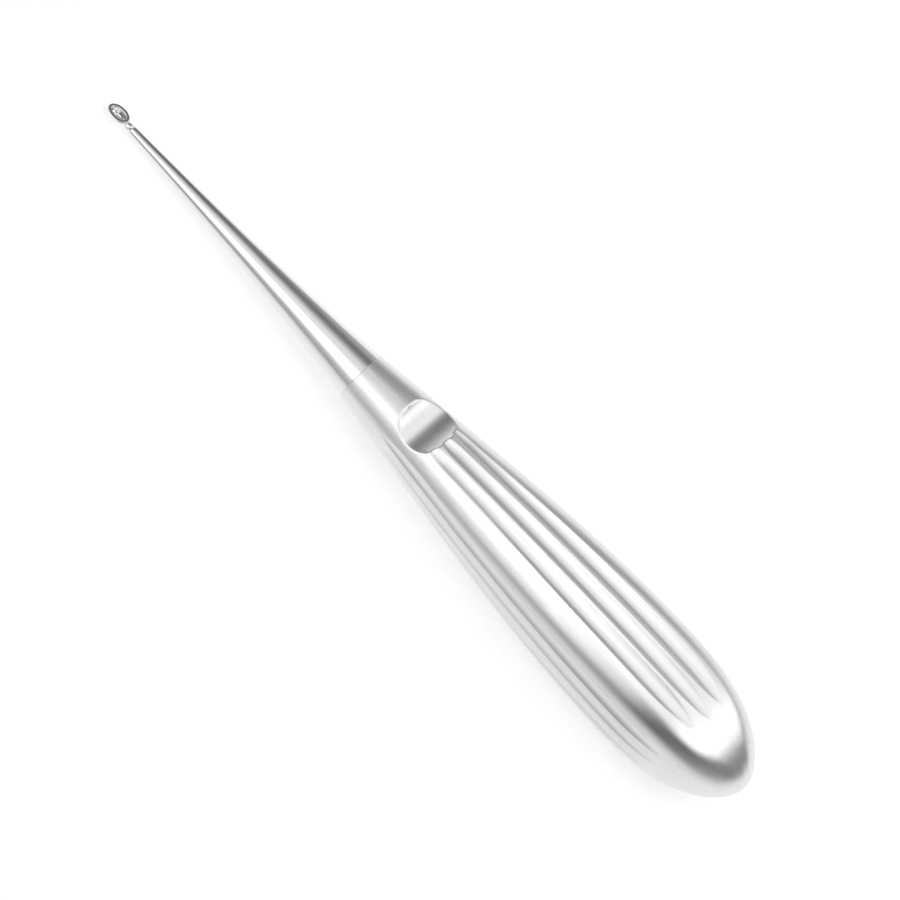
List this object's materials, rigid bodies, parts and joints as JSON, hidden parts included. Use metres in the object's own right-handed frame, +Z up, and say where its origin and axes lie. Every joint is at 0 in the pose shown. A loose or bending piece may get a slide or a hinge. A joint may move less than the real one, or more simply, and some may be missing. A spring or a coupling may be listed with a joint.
{
  "type": "bone curette",
  "caption": "Hand curette of stainless steel with a small oval cup, a slim conical stem and a pear-shaped hollow handle with flutes and a thumb scoop.",
  "frame": {"origin": "middle of the base of the tool's box, on the surface it lies on", "axes": "+X from the cup to the butt of the handle, +Z up, with the cup's mouth and the thumb scoop facing up"},
  "size_m": [0.1704, 0.0214, 0.023],
  "materials": {
    "polished_steel": "fine ground and polished stainless steel",
    "satin_steel": "stainless steel, satin brushed along the handle"
  },
  "bodies": {
    "root": {"curette_stem": "polished_steel", "hollow_handle": "satin_steel"}
  },
  "joints": []
}
